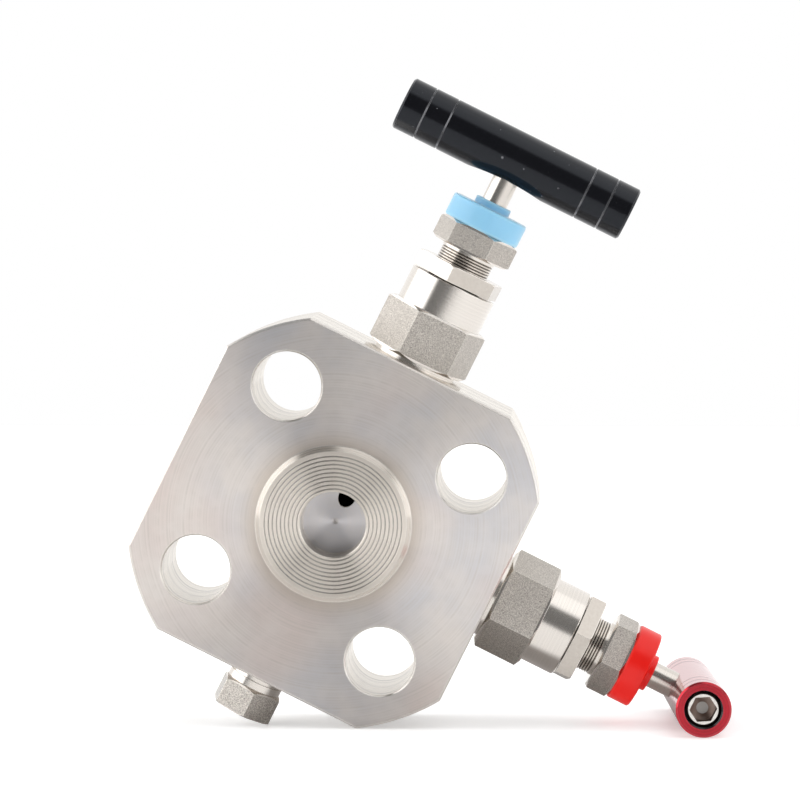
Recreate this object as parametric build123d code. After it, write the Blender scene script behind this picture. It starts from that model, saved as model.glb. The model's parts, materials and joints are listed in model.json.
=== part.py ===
from build123d import *
import math
import os

# Block and bleed needle valve on a square-cut flange.  Millimetres, +Z up.
# Origin: centre of the raised face.  The flange axis lies along Y and the raised face looks along -Y.
# The valve is drawn square to its own axes (isolate head along +Z, vent head along +X) and is
# rolled about Y as its last step, to stand on a bench on its plug, one flange corner and the vent handle.

# ---------------------------------------------------------------- flange block
FLANGE_RADIUS = 58.75      # 3/4 inch class 300 flange, 117.5 outside diameter
FLANGE_HALF_FLAT = 49.5    # centre to each square-cut flat
FACE_HEIGHT = 2.0          # raised face above the flange face
BLOCK_DEPTH = 38.0
BLOCK_CHAMFER = 0.5
FACE_RADIUS = 21.1
FACE_FOOT_RADIUS = 22.2
FACE_RIM_CHAMFER = 0.25
BOLT_CIRCLE = 82.6
BOLT_HOLE_RADIUS = 9.8
BOLT_HOLE_CHAMFER = 0.4
INLET_RADIUS = 9.3
INLET_DEPTH = 10.0
INLET_CHAMFER = 0.3
CENTRE_MARK_RADIUS = 0.9
CENTRE_MARK_DEPTH = 0.5
SERRATION_START = 10.0
SERRATION_PITCH = 1.15
SERRATION_COUNT = 9
SERRATION_DEPTH = 0.2
SERRATION_WIDTH = 0.5

# ---------------------------------------------------------------- passages inside the block
AXIS_DEPTH = 21.0          # both valve axes, measured from the raised face
SEAT_STATION = 14.0        # stations are distances from the flange axis along a valve axis
ORIFICE_RADIUS = 2.5
CHAMBER_RADIUS = 6.5
RECESS_RADIUS = 12.0
RECESS_STATION = 29.5
CROSS_RADIUS = 3.0
FEED_RADIUS = 2.5
FEED_OFFSET = 8.1          # where the feed drilling breaks into the inlet floor
FEED_REACH = 18.0
OUTLET_RADIUS = 9.2
OUTLET_DEPTH = 15.0
OUTLET_CHAMFER = 0.8
PLUG_AXIS_DEPTH = 14.0
PORT_RADIUS = 6.6
PORT_DEPTH = 13.0
BLEED_RADIUS = 2.0
BLEED_TARGET = (20.0, AXIS_DEPTH, -4.0)

# ---------------------------------------------------------------- valve head, stations outwards
SEAL_THICKNESS = 1.0
SHANK_RADIUS = 11.95
NECK_RADIUS = 12.4
NECK_TOP = 50.8
BONNET_FLATS = 26.8
BONNET_CHAMFERS = (1.1, 0.9)     # drop of a hexagon's corner chamfers, inner end then outer end
BONNET_HEX_TOP = 65.4
BARREL_RADIUS = 12.85
BARREL_TOP = 75.3
BARREL_CHAMFER = 0.2
POCKET_TOP = 35.5
STEM_NUT_TOP = 47.5
STEM_NUT_RADIUS = 5.05
PACKING_BOX_RADIUS = 6.5
PACKING_BOX_TOP = 66.0
BOLT_BORE_RADIUS = 8.2

WASHER_TOP = 49.0
RING_COUNT = 3
RING_HEIGHT = 4.0
RING_RADIUS = 6.45
BUSH_TOP = 66.0
RUNNING_RADIUS = 3.86      # bore of the pieces that guide the stem

LOCK_NUT_BASE = 75.7
LOCK_NUT_TOP = 80.4
LOCK_NUT_FLATS = 24.0
LOCK_NUT_CHAMFERS = (0.15, 0.4)
BOLT_RADIUS = 8.1
BOLT_THREAD_PITCH = 0.8
BOLT_THREAD_DEPTH = 0.35
THREAD_TOP = 85.2
BOLT_HEX_TOP = 92.4
BOLT_HEX_FLATS = 21.0
BOLT_CHAMFERS = (0.8, 0.8)
BOLT_CLEAR_RADIUS = 4.15
SPIGOT_RADIUS = 9.9
SPIGOT_TOP = 98.2

CAP_RADIUS = 11.4
CAP_INNER_RADIUS = 9.95
CAP_INNER_TOP = 98.3
CAP_TOP = 99.1
CAP_ROUND = 0.6
COLLAR_RADIUS = 5.4
COLLAR_TOP = 101.2
COLLAR_ROUND = 0.3

# ---------------------------------------------------------------- moving pieces
TIP_RADIUS = 4.0
TIP_NOSE_RADIUS = 0.8
TIP_HALF_ANGLE = 30.0
TIP_TOP = 31.0
SEAT_GAP = 0.05
SOCKET_BASE = 26.7
SOCKET_TOP = 29.8
SOCKET_RADIUS = 3.0
SOCKET_MOUTH_RADIUS = 2.1

BUTTON_BASE = 27.0
BUTTON_TOP = 29.5
BUTTON_RADIUS = 2.7
BUTTON_NECK_RADIUS = 1.75
SHOULDER = 32.3
SHOULDER_RADIUS = 4.2
STEM_THREAD_BASE = 36.0
STEM_THREAD_TOP = 44.0
STEM_THREAD_RADIUS = 5.0
STEM_THREAD_PITCH = 1.0
STEM_THREAD_DEPTH = 0.55
STEM_RADIUS = 3.8
STEM_STEP = 109.4          # the full stem ends inside the handle's counterbore
STEM_STEP_CHAMFER = 0.6
STEM_SPIGOT_RADIUS = 3.25
STEM_TOP = 118.0

HANDLE_STATION = 115.3
HANDLE_RADIUS = 7.8
HANDLE_LENGTH = 72.0
HANDLE_CHAMFER = 0.5
HANDLE_GROOVES = (7.0, 14.0)
HANDLE_GROOVE_WIDTH = 0.5
HANDLE_GROOVE_DEPTH = 0.3
HANDLE_BORE_RADIUS = 3.3
HANDLE_BORE_TOP = 118.5
HANDLE_SEAT_RADIUS = 3.85
HANDLE_SEAT_TOP = 109.5
DISH_LENGTH = 23.3
DISH_DEPTH = 1.0
TAPPING_RADIUS = 5.0
TAPPING_MOUTH_RADIUS = 5.45

SCREW_RADIUS = 4.9
SCREW_FACE_RADIUS = 4.25
SCREW_RECESS = 1.6
SCREW_POINT = 3.35
SCREW_THREAD_PITCH = 1.5
SCREW_THREAD_DEPTH = 0.4
SOCKET_FLATS = 6.7
SOCKET_DEPTH = 3.6
SOCKET_CONE_DEPTH = 0.9
SOCKET_FLOOR_RADIUS = 1.6

# ---------------------------------------------------------------- vent port plug
PLUG_RADIUS = 6.5
PLUG_INNER = 37.5
PLUG_NECK_RADIUS = 7.5
PLUG_NECK_TOP = 51.3
PLUG_COLLAR_RADIUS = 8.0
PLUG_HEX_BASE = 53.3
PLUG_TOP = 61.7
PLUG_FLATS = 16.5
PLUG_CHAMFERS = (1.0, 0.4)

# how far each hexagon is turned about its axis, degrees
ISOLATE_TURNS = {"bonnet": 10.1, "lock_nut": 21.6, "packing_bolt": -5.5}
VENT_TURNS = {"bonnet": -12.3, "lock_nut": 19.1, "packing_bolt": -21.3}
PLUG_TURN = 21.2

# the vent handle's turn away from the flange axis where its needle seats, degrees
VENT_HANDLE_TURN = 3.3

# ---------------------------------------------------------------- driven by the dimensions above
FLANGE_FACE = FACE_HEIGHT
BLOCK_BACK = FACE_HEIGHT + BLOCK_DEPTH
CORNER_HALF_CHORD = math.sqrt(FLANGE_RADIUS**2 - FLANGE_HALF_FLAT**2)
TAN_30 = math.tan(math.radians(30))
CUT = 1.0                  # how far a cutting tool runs past the surface it opens
SAME_RADIUS = 0.01         # radii closer than this belong to the same edge


def resting_roll():
    """Roll at which the flange's front corner and the turned vent handle stand on the same bench."""
    lift = (AXIS_DEPTH - FLANGE_FACE) * math.tan(math.radians(VENT_HANDLE_TURN))
    across = HANDLE_STATION - CORNER_HALF_CHORD
    up = FLANGE_HALF_FLAT + lift
    return math.degrees(math.acos(HANDLE_RADIUS / math.hypot(up, across)) - math.atan2(across, up))


ROLL = resting_roll()


# ---------------------------------------------------------------- helpers
def turned(points):
    """Solid of revolution about Z from (radius, station) points."""
    outline = Polyline(*[(r, 0, z) for r, z in points], close=True)
    return revolve(make_face(outline), axis=Axis.Z)


def tube(outer, inner, base, top):
    """Plain ring between two stations."""
    return turned([(inner, base), (outer, base), (outer, top), (inner, top)])


def grooved(radius, depth, base, top, pitch):
    """Edge points from base to top with ring grooves in place of a thread."""
    flat = pitch / 8
    count = int((top - base - flat) / pitch)
    points = []
    for i in range(count):
        z = base + i * pitch
        points += [(radius, z), (radius, z + flat), (radius - depth, z + (pitch + flat) / 2)]
    points += [(radius, base + count * pitch), (radius, top)]
    return points


def rod(radius, start, direction, length):
    """Round bar from a point along a direction, used to drill."""
    return Solid.make_cylinder(radius, length, Plane(origin=start, z_dir=direction))


def hexagon(across_flats, base, top, turn, chamfers):
    """Hexagon bar whose corners are taken off by a 30 degree cone at each end."""
    base_chamfer, top_chamfer = chamfers
    flat = across_flats / 2
    corner = flat / math.cos(math.radians(30))
    wide = corner + CUT
    outline = RegularPolygon(flat, 6, major_radius=False, rotation=turn)
    bar = Pos(0, 0, base) * extrude(outline, top - base)
    cone = turned(
        [
            (0, base),
            (corner - base_chamfer / TAN_30, base),
            (wide, base + base_chamfer + CUT * TAN_30),
            (wide, top - top_chamfer - CUT * TAN_30),
            (corner - top_chamfer / TAN_30, top),
            (0, top),
        ]
    )
    return bar & cone


def isolate(part):
    """Place a piece drawn along Z on the isolate axis."""
    return Rot(0, ROLL, 0) * Pos(0, AXIS_DEPTH, 0) * part


def vent(part):
    """Place a piece drawn along Z on the vent axis."""
    return Rot(0, ROLL, 0) * Pos(0, AXIS_DEPTH, 0) * Rot(0, 90, 0) * part


# ---------------------------------------------------------------- flange body
def flange_blank():
    """Square-cut disc with its raised face, axis along Z, face at zero."""
    disc = Pos(0, 0, FLANGE_FACE + BLOCK_DEPTH / 2) * Cylinder(FLANGE_RADIUS, BLOCK_DEPTH)
    square = 2 * FLANGE_HALF_FLAT
    block = disc & Pos(0, 0, FLANGE_FACE + BLOCK_DEPTH / 2) * Box(square, square, BLOCK_DEPTH)
    rims = block.faces().sort_by(Axis.Z)[0].edges() + block.faces().sort_by(Axis.Z)[-1].edges()
    block = chamfer(rims, BLOCK_CHAMFER)
    raised = turned(
        [
            (0, 0),
            (FACE_RADIUS - FACE_RIM_CHAMFER, 0),
            (FACE_RADIUS, FACE_RIM_CHAMFER),
            (FACE_RADIUS, FACE_HEIGHT - (FACE_FOOT_RADIUS - FACE_RADIUS)),
            (FACE_FOOT_RADIUS, FACE_HEIGHT),
            (FACE_FOOT_RADIUS, FACE_HEIGHT + CUT),
            (0, FACE_HEIGHT + CUT),
        ]
    )
    return block + raised


def face_serrations():
    """Concentric grooves on the raised face, axis along Z."""
    cutter = None
    for i in range(SERRATION_COUNT):
        r = SERRATION_START + i * SERRATION_PITCH
        ring = turned([(r, -CUT), (r + SERRATION_WIDTH, -CUT), (r + SERRATION_WIDTH, 0),
                       (r + SERRATION_WIDTH / 2, SERRATION_DEPTH), (r, 0)])
        cutter = ring if cutter is None else cutter + ring
    return cutter


def bolt_holes():
    """Four through holes with chamfered rims, axis along Z."""
    outer = BOLT_HOLE_RADIUS + BOLT_HOLE_CHAMFER
    tool = turned(
        [
            (0, FLANGE_FACE - CUT),
            (outer, FLANGE_FACE - CUT),
            (outer, FLANGE_FACE),
            (BOLT_HOLE_RADIUS, FLANGE_FACE + BOLT_HOLE_CHAMFER),
            (BOLT_HOLE_RADIUS, BLOCK_BACK - BOLT_HOLE_CHAMFER),
            (outer, BLOCK_BACK),
            (outer, BLOCK_BACK + CUT),
            (0, BLOCK_BACK + CUT),
        ]
    )
    reach = BOLT_CIRCLE / 2 / math.sqrt(2)
    return [Pos(x, y, 0) * tool for x in (-reach, reach) for y in (-reach, reach)]


def inlet():
    """Blind process bore with a chamfered mouth and a centre mark, axis along Z."""
    return turned(
        [
            (0, -CUT),
            (INLET_RADIUS + INLET_CHAMFER, -CUT),
            (INLET_RADIUS + INLET_CHAMFER, 0),
            (INLET_RADIUS, INLET_CHAMFER),
            (INLET_RADIUS, INLET_DEPTH),
            (CENTRE_MARK_RADIUS, INLET_DEPTH),
            (0, INLET_DEPTH + CENTRE_MARK_DEPTH),
        ]
    )


def outlet():
    """Instrument port in the back face, its wall standing for the thread, axis along Z."""
    base = BLOCK_BACK - OUTLET_DEPTH
    mouth = OUTLET_RADIUS + OUTLET_CHAMFER
    return turned([(0, base), (OUTLET_RADIUS, base), (OUTLET_RADIUS, BLOCK_BACK - OUTLET_CHAMFER),
                   (mouth, BLOCK_BACK), (mouth, BLOCK_BACK + CUT), (0, BLOCK_BACK + CUT)])


def head_bore():
    """Orifice, chamber and bonnet recess of one valve, drawn along Z from the flange axis."""
    return turned(
        [
            (0, 0),
            (ORIFICE_RADIUS, 0),
            (ORIFICE_RADIUS, SEAT_STATION),
            (CHAMBER_RADIUS, SEAT_STATION),
            (CHAMBER_RADIUS, RECESS_STATION),
            (RECESS_RADIUS, RECESS_STATION),
            (RECESS_RADIUS, FLANGE_HALF_FLAT + CUT),
            (0, FLANGE_HALF_FLAT + CUT),
        ]
    )


def flange_body():
    body = flange_blank()
    body -= face_serrations()
    body -= bolt_holes()
    body -= inlet()
    body -= outlet()
    body = Rot(-90, 0, 0) * body
    on_axis = Pos(0, AXIS_DEPTH, 0)
    body -= on_axis * head_bore()
    body -= on_axis * Rot(0, 90, 0) * head_bore()
    centre = (0, AXIS_DEPTH - CROSS_RADIUS, 0)
    body -= rod(CROSS_RADIUS, centre, (0, 1, 0), BLOCK_BACK - OUTLET_DEPTH - centre[1] + CUT)
    feed_start = (0, INLET_DEPTH - FEED_RADIUS, FEED_OFFSET - FEED_RADIUS)
    body -= rod(FEED_RADIUS, feed_start, (0, 1, 1), FEED_REACH)
    port_floor = FLANGE_HALF_FLAT - PORT_DEPTH
    body -= rod(PORT_RADIUS, (0, PLUG_AXIS_DEPTH, -port_floor), (0, 0, -1), PORT_DEPTH + CUT)
    bleed_start = Vector(0, PLUG_AXIS_DEPTH, -port_floor)
    bleed = Vector(*BLEED_TARGET) - bleed_start
    body -= rod(BLEED_RADIUS, bleed_start, bleed, bleed.length)
    return Rot(0, ROLL, 0) * body


def vent_port_plug():
    shank = turned(
        [
            (0, PLUG_INNER),
            (PLUG_RADIUS, PLUG_INNER),
            (PLUG_RADIUS, FLANGE_HALF_FLAT),
            (PLUG_NECK_RADIUS, FLANGE_HALF_FLAT),
            (PLUG_NECK_RADIUS, PLUG_NECK_TOP),
            (PLUG_COLLAR_RADIUS, PLUG_NECK_TOP),
            (PLUG_COLLAR_RADIUS, PLUG_HEX_BASE),
            (0, PLUG_HEX_BASE),
        ]
    )
    plug = shank + hexagon(PLUG_FLATS, PLUG_HEX_BASE, PLUG_TOP, PLUG_TURN, PLUG_CHAMFERS)
    return Rot(0, ROLL, 0) * Pos(0, PLUG_AXIS_DEPTH, 0) * Rot(180, 0, 0) * plug


# ---------------------------------------------------------------- fixed pieces of a head
def bonnet_seal():
    return tube(SHANK_RADIUS, CHAMBER_RADIUS, RECESS_STATION, RECESS_STATION + SEAL_THICKNESS)


def bonnet(turns):
    base = RECESS_STATION + SEAL_THICKNESS
    shank = turned([(0, base), (SHANK_RADIUS, base), (SHANK_RADIUS, FLANGE_HALF_FLAT),
                    (NECK_RADIUS, FLANGE_HALF_FLAT), (NECK_RADIUS, NECK_TOP), (0, NECK_TOP)])
    hex_part = hexagon(BONNET_FLATS, NECK_TOP, BONNET_HEX_TOP, turns["bonnet"], BONNET_CHAMFERS)
    barrel = turned([(0, BONNET_HEX_TOP), (BARREL_RADIUS, BONNET_HEX_TOP),
                     (BARREL_RADIUS, BARREL_TOP - BARREL_CHAMFER),
                     (BARREL_RADIUS - BARREL_CHAMFER, BARREL_TOP), (0, BARREL_TOP)])
    bore = turned(
        [
            (0, base - CUT),
            (CHAMBER_RADIUS, base - CUT),
            (CHAMBER_RADIUS, POCKET_TOP),
            (STEM_NUT_RADIUS, POCKET_TOP),
            (STEM_NUT_RADIUS, STEM_NUT_TOP),
            (PACKING_BOX_RADIUS, STEM_NUT_TOP),
            (PACKING_BOX_RADIUS, PACKING_BOX_TOP),
            (BOLT_BORE_RADIUS, PACKING_BOX_TOP),
            (BOLT_BORE_RADIUS, BARREL_TOP + CUT),
            (0, BARREL_TOP + CUT),
        ]
    )
    return shank + hex_part + barrel - bore


def packing_washer():
    return tube(RING_RADIUS, RUNNING_RADIUS, STEM_NUT_TOP, WASHER_TOP)


def packing_rings():
    bases = [WASHER_TOP + i * RING_HEIGHT for i in range(RING_COUNT)]
    return Compound([tube(RING_RADIUS, RUNNING_RADIUS, base, base + RING_HEIGHT) for base in bases])


def gland_bush():
    return tube(RING_RADIUS, RUNNING_RADIUS, WASHER_TOP + RING_COUNT * RING_HEIGHT, BUSH_TOP)


def lock_nut(turns):
    nut = hexagon(LOCK_NUT_FLATS, LOCK_NUT_BASE, LOCK_NUT_TOP, turns["lock_nut"], LOCK_NUT_CHAMFERS)
    return nut - tube(BOLT_BORE_RADIUS, 0, LOCK_NUT_BASE - CUT, LOCK_NUT_TOP + CUT)


def packing_bolt(turns):
    thread = grooved(BOLT_RADIUS, BOLT_THREAD_DEPTH, BUSH_TOP, THREAD_TOP, BOLT_THREAD_PITCH)
    shank = turned([(0, BUSH_TOP)] + thread + [(0, THREAD_TOP)])
    hex_part = hexagon(BOLT_HEX_FLATS, THREAD_TOP, BOLT_HEX_TOP, turns["packing_bolt"], BOLT_CHAMFERS)
    spigot = tube(SPIGOT_RADIUS, 0, BOLT_HEX_TOP, SPIGOT_TOP)
    return shank + hex_part + spigot - tube(BOLT_CLEAR_RADIUS, 0, BUSH_TOP - CUT, SPIGOT_TOP + CUT)


def dust_cap():
    profile = turned(
        [
            (CAP_INNER_RADIUS, BOLT_HEX_TOP),
            (CAP_RADIUS, BOLT_HEX_TOP),
            (CAP_RADIUS, CAP_TOP),
            (COLLAR_RADIUS, CAP_TOP),
            (COLLAR_RADIUS, COLLAR_TOP),
            (RUNNING_RADIUS, COLLAR_TOP),
            (RUNNING_RADIUS, CAP_INNER_TOP),
            (CAP_INNER_RADIUS, CAP_INNER_TOP),
        ]
    )
    rims = profile.edges().filter_by(GeomType.CIRCLE)
    cap_rims = [e for e in rims if abs(e.radius - CAP_RADIUS) < SAME_RADIUS]
    cap = fillet(cap_rims, CAP_ROUND)
    rims = cap.edges().filter_by(GeomType.CIRCLE)
    collar_rims = [e for e in rims if abs(e.radius - COLLAR_RADIUS) < SAME_RADIUS]
    return fillet(max(collar_rims, key=lambda e: e.center().Z), COLLAR_ROUND)


# ---------------------------------------------------------------- moving pieces of a head
def needle_tip():
    slope = math.tan(math.radians(TIP_HALF_ANGLE))
    seat_radius = ORIFICE_RADIUS - SEAT_GAP
    nose = SEAT_STATION - (seat_radius - TIP_NOSE_RADIUS) / slope
    shoulder = SEAT_STATION + (TIP_RADIUS - seat_radius) / slope
    return turned(
        [
            (0, nose),
            (TIP_NOSE_RADIUS, nose),
            (TIP_RADIUS, shoulder),
            (TIP_RADIUS, TIP_TOP),
            (SOCKET_MOUTH_RADIUS, TIP_TOP),
            (SOCKET_MOUTH_RADIUS, SOCKET_TOP),
            (SOCKET_RADIUS, SOCKET_TOP),
            (SOCKET_RADIUS, SOCKET_BASE),
            (0, SOCKET_BASE),
        ]
    )


def stem():
    low, high = STEM_THREAD_BASE, STEM_THREAD_TOP
    thread = grooved(STEM_THREAD_RADIUS, STEM_THREAD_DEPTH, low, high, STEM_THREAD_PITCH)
    return turned(
        [
            (0, BUTTON_BASE),
            (BUTTON_RADIUS, BUTTON_BASE),
            (BUTTON_RADIUS, BUTTON_TOP),
            (BUTTON_NECK_RADIUS, BUTTON_TOP),
            (BUTTON_NECK_RADIUS, SHOULDER),
            (SHOULDER_RADIUS, SHOULDER),
            (SHOULDER_RADIUS, STEM_THREAD_BASE),
        ]
        + thread
        + [
            (STEM_RADIUS, STEM_THREAD_TOP),
            (STEM_RADIUS, STEM_STEP - STEM_STEP_CHAMFER),
            (STEM_SPIGOT_RADIUS, STEM_STEP),
            (STEM_SPIGOT_RADIUS, STEM_TOP),
            (0, STEM_TOP),
        ]
    )


def handle_bar():
    """T-bar drawn along Z about its own middle, with ring grooves near both ends."""
    half = HANDLE_LENGTH / 2
    side = [(HANDLE_RADIUS - HANDLE_CHAMFER, -half), (HANDLE_RADIUS, HANDLE_CHAMFER - half)]
    grooves = [-half + g for g in HANDLE_GROOVES] + [half - g for g in reversed(HANDLE_GROOVES)]
    for z in grooves:
        side += [(HANDLE_RADIUS, z - HANDLE_GROOVE_WIDTH / 2)]
        side += [(HANDLE_RADIUS - HANDLE_GROOVE_DEPTH, z)]
        side += [(HANDLE_RADIUS, z + HANDLE_GROOVE_WIDTH / 2)]
    side += [(HANDLE_RADIUS, half - HANDLE_CHAMFER), (HANDLE_RADIUS - HANDLE_CHAMFER, half)]
    mouth = TAPPING_MOUTH_RADIUS - TAPPING_RADIUS
    tapping = turned([(0, 0), (TAPPING_RADIUS, 0), (TAPPING_RADIUS, half - mouth),
                      (TAPPING_MOUTH_RADIUS, half), (TAPPING_MOUTH_RADIUS, half + CUT), (0, half + CUT)])
    return turned([(0, -half)] + side + [(0, half)]) - tapping


def handle(lay):
    """Bar laid across the stem, bored for it and dished underneath."""
    dish_radius = ((DISH_LENGTH / 2) ** 2 + DISH_DEPTH**2) / (2 * DISH_DEPTH)
    underside = HANDLE_STATION - HANDLE_RADIUS + DISH_DEPTH
    bar = Pos(0, 0, HANDLE_STATION) * lay * handle_bar()
    start = HANDLE_STATION - HANDLE_RADIUS - CUT
    bar -= tube(HANDLE_BORE_RADIUS, 0, start, HANDLE_BORE_TOP)
    bar -= tube(HANDLE_SEAT_RADIUS, 0, start, HANDLE_SEAT_TOP)
    return bar - Pos(0, 0, underside - dish_radius) * Sphere(dish_radius)


def handle_screw(lay):
    """Socket set screw in the bar's tapped end, its point on the stem."""
    face = HANDLE_LENGTH / 2 - SCREW_RECESS
    taper = SCREW_RADIUS - SCREW_FACE_RADIUS
    low, high = SCREW_POINT + taper, face - taper
    thread = grooved(SCREW_RADIUS, SCREW_THREAD_DEPTH, low, high, SCREW_THREAD_PITCH)
    screw = turned([(0, SCREW_POINT), (SCREW_FACE_RADIUS, SCREW_POINT)] + thread
                   + [(SCREW_FACE_RADIUS, face), (0, face)])
    key = RegularPolygon(SOCKET_FLATS / 2, 6, major_radius=False)
    socket = Pos(0, 0, face - SOCKET_DEPTH) * extrude(key, SOCKET_DEPTH + CUT)
    floor = face - SOCKET_DEPTH
    cone = turned([(0, floor - SOCKET_CONE_DEPTH), (SOCKET_FLOOR_RADIUS, floor - SOCKET_CONE_DEPTH),
                   (SOCKET_FLATS / 2, floor), (0, floor)])
    return Pos(0, 0, HANDLE_STATION) * lay * (screw - socket - cone)


# ---------------------------------------------------------------- build
ACROSS = Rot(0, 90, 0)     # bar along the flange face, screw end outwards
ALONG = Rot(0, 0, -VENT_HANDLE_TURN) * Rot(90, 0, 0)   # bar near the flange axis, screw end forwards


def head(name, place, turns, lay):
    """Every piece of one valve head, under its node name."""
    return {
        f"{name}_bonnet_seal": place(bonnet_seal()),
        f"{name}_bonnet": place(bonnet(turns)),
        f"{name}_packing_washer": place(packing_washer()),
        f"{name}_packing_rings": place(packing_rings()),
        f"{name}_gland_bush": place(gland_bush()),
        f"{name}_packing_bolt": place(packing_bolt(turns)),
        f"{name}_lock_nut": place(lock_nut(turns)),
        f"{name}_dust_cap": place(dust_cap()),
        f"{name}_needle_tip": place(needle_tip()),
        f"{name}_stem": place(stem()),
        f"{name}_handle": place(handle(lay)),
        f"{name}_handle_screw": place(handle_screw(lay)),
    }


os.makedirs("parts", exist_ok=True)
nodes = {"flange_body": flange_body(), "vent_port_plug": vent_port_plug()}
nodes.update(head("isolate", isolate, ISOLATE_TURNS, ACROSS))
nodes.update(head("vent", vent, VENT_TURNS, ALONG))
for node, solid in nodes.items():
    export_step(solid, f"parts/{node}.step")
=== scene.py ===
import json
import math
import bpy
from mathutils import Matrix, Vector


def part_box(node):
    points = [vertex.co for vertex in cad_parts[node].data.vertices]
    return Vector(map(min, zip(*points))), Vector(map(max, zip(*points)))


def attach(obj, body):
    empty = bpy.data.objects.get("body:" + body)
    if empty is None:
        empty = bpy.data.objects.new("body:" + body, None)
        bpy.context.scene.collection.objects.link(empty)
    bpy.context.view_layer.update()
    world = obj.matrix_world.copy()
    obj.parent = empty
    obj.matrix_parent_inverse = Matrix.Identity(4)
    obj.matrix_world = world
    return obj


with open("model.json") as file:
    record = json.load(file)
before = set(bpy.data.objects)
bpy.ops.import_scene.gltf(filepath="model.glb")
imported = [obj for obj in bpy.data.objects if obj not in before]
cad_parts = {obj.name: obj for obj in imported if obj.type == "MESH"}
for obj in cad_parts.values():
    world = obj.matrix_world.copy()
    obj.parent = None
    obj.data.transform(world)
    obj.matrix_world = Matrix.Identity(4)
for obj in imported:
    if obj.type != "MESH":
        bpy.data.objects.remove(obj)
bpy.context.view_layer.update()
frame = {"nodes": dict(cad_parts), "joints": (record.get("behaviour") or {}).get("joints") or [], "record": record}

from types import SimpleNamespace

import bpy
from mathutils import Matrix, Vector

scene = bpy.context.scene
nodes = frame["nodes"]
joints = {j["name"]: j for j in frame["joints"]}
mounts = {m["name"]: m for m in frame["record"]["mounts"]}

# ---------------------------------------------------------------- places taken from the frame
HEADS = ("isolate", "vent")
AXIS = {h: Vector(joints[h + "_turn"]["axis"]).normalized() for h in HEADS}
CENTRE = {h: Vector(joints[h + "_turn"]["pos_m"]) for h in HEADS}
FLANGE_AXIS = -Vector(mounts["process_inlet"]["axis"])
MM_PER_M = 1000
TOUCH = 0.00002               # slack when a point is tested against a surface
HEX_SHARE = 0.97              # points from this share of the widest radius are on the hexagon
END_SKIN = 0.0002             # depth of the points taken as a bar's end face
AXIS_ROUNDS = 8               # rounds that settle a bar's long axis


def corners(node):
    return [v.co for v in nodes[node].data.vertices]


def mount_size(mount, size):
    """A size that the record states for a mount, in metres."""
    return mounts[mount]["dims"][size] / MM_PER_M


def around(point, centre, axis):
    """Station of a point along an axis, and its radius from the axis."""
    arm = point - centre
    station = arm.dot(axis)
    return station, (arm - station * axis).length


def hex_span(node, centre, axis):
    """Lowest and highest station of a node's widest part, which is its hexagon."""
    reach = [around(point, centre, axis) for point in corners(node)]
    widest = max(radius for _, radius in reach)
    stations = [station for station, radius in reach if radius > HEX_SHARE * widest]
    return min(stations), max(stations)


def long_axis(points, start):
    """Unit vector along the longest way through the points."""
    along = (max(points, key=lambda p: (p - start).length) - start).normalized()
    for _ in range(AXIS_ROUNDS):
        along = sum(((p - start).dot(along) * (p - start) for p in points), Vector()).normalized()
    return along


def end_centre(points, start, way, side):
    """Centre of the round end face that lies furthest along a direction."""
    far = max((p - start).dot(way) for p in points)
    face = [p - start for p in points if (p - start).dot(way) > far - END_SKIN]
    centre = start + far * way
    for across in (side, way.cross(side)):
        spread = [arm.dot(across) for arm in face]
        centre = centre + (min(spread) + max(spread)) / 2 * across
    return centre


def bar_ends(node):
    """Middle of a handle bar on its axis, the unit vector along it, and the distance to each end face."""
    points = corners(node)
    start = sum(points, Vector()) / len(points)
    along = long_axis(points, start)
    side = along.orthogonal().normalized()
    front, back = (end_centre(points, start, way, side) for way in (along, -along))
    middle = (front + back) / 2
    along = (front - back).normalized()
    return middle, along, max(abs((p - middle).dot(along)) for p in points)


# ---------------------------------------------------------------- camera
LENS_MM = 150.05
SENSOR_MM = 36.0
CLIP_END = 20.0
CAMERA_PLACE = Vector((0.06117, -0.93534, 0.10289))
CAMERA_TURN = math.radians(2.5762)
CAMERA_DIP = math.radians(4.1231)
CAMERA_LEAN = math.radians(-0.1206)


def add_camera():
    camera = bpy.data.objects.new("camera", bpy.data.cameras.new("camera"))
    camera.data.lens = LENS_MM
    camera.data.sensor_width = SENSOR_MM
    camera.data.clip_end = CLIP_END
    turn = Matrix.Rotation(CAMERA_TURN, 4, "Z")
    dip = Matrix.Rotation(math.radians(90) - CAMERA_DIP, 4, "X")
    lean = Matrix.Rotation(CAMERA_LEAN, 4, "Z")
    camera.matrix_world = Matrix.Translation(CAMERA_PLACE) @ turn @ dip @ lean
    scene.collection.objects.link(camera)
    scene.camera = camera


add_camera()
scene.view_settings.view_transform = "Standard"
scene.view_settings.look = "None"


# ---------------------------------------------------------------- shader helper
EDGE_NORMALS = (0.995, 0.90)  # agreement of the eased and true normals, on an open face and on an edge
BEVEL_SAMPLES = 4
END_ON = (0.6, 0.8)           # how far a normal lies along an axis, on a side face and on an end face


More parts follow.
